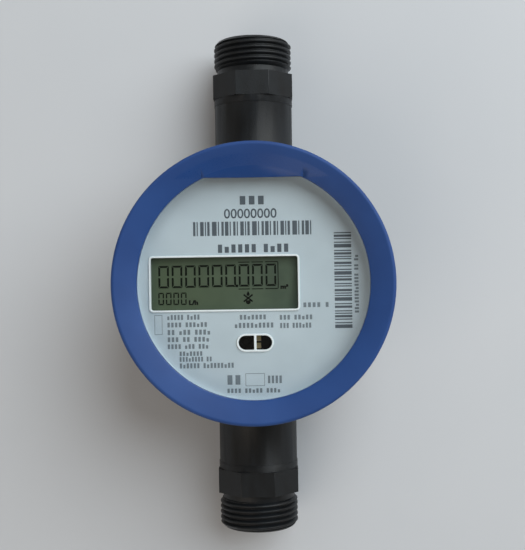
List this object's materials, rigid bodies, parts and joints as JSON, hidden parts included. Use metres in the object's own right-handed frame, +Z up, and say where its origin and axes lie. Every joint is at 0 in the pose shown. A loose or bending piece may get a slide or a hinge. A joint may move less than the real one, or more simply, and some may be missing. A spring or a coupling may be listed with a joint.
{
  "type": "ultrasonic water meter",
  "caption": "Static ultrasonic water meter: a round sealed head with a glazed display dial on a straight flow pipe with threaded ends and octagonal spanner collars.",
  "frame": {"origin": "under the middle of the head, on the surface that the lower flats of the two collars rest on", "axes": "+Y along the flow pipe from the inlet to the outlet, +Z up through the dial, +X to the right of the dial as it is read"},
  "size_m": [0.087, 0.165, 0.0514],
  "materials": {
    "body_plastic": "fine moulded satin, glass-filled composite",
    "ring_plastic": "satin moulded plastic",
    "clear_glass": "polished clear glass",
    "gasket_rubber": "matt rubber",
    "dial_plastic": "fine matt moulded plastic with printed marks",
    "display_pane": "polished pane over a grey-green polariser",
    "contact_rubber": "matt striped rubber",
    "board_laminate": "dark lacquered laminate",
    "chip_plastic": "matt moulding compound",
    "crystal_case": "plain metal lid",
    "capacitor_ceramic": "fired ceramic",
    "dark_lens": "dark infrared filter plastic",
    "terminal_metal": "gold plated",
    "antenna_metal": "tin plated sheet",
    "inner_plastic": "moulded plastic",
    "cell_can": "sleeved metal can",
    "tab_metal": "nickel strip",
    "capsule_plastic": "vapour-open white plastic",
    "transducer_ceramic": "ceramic disc with plated faces",
    "mirror_steel": "polished stainless steel",
    "insert_plastic": "moulded plastic"
  },
  "bodies": {
    "root": {"meter_body": "body_plastic", "locking_ring": "ring_plastic", "cover_glass": "clear_glass", "glass_gasket": "gasket_rubber", "face_plate": "dial_plastic", "display_front_glass": "display_pane", "display_rear_glass": "display_pane", "display_connector_upper": "contact_rubber", "display_connector_lower": "contact_rubber", "circuit_board": "board_laminate", "main_chip": "chip_plastic", "timing_chip": "chip_plastic", "radio_chip": "chip_plastic", "clock_crystal": "crystal_case", "capacitors": "capacitor_ceramic", "infrared_emitter": "dark_lens", "emitter_terminals": "terminal_metal", "infrared_receiver": "dark_lens", "antenna": "antenna_metal", "board_carrier": "inner_plastic", "battery_cell_left": "cell_can", "battery_cell_right": "cell_can", "battery_tabs": "tab_metal", "desiccant_capsule": "capsule_plastic", "transducer_inlet": "transducer_ceramic", "transducer_outlet": "transducer_ceramic", "transducer_pins": "terminal_metal", "reflector_inlet": "mirror_steel", "reflector_outlet": "mirror_steel", "reflector_holder_inlet": "insert_plastic", "reflector_holder_outlet": "insert_plastic", "measuring_tube": "insert_plastic", "inlet_strainer": "insert_plastic"}
  },
  "joints": []
}
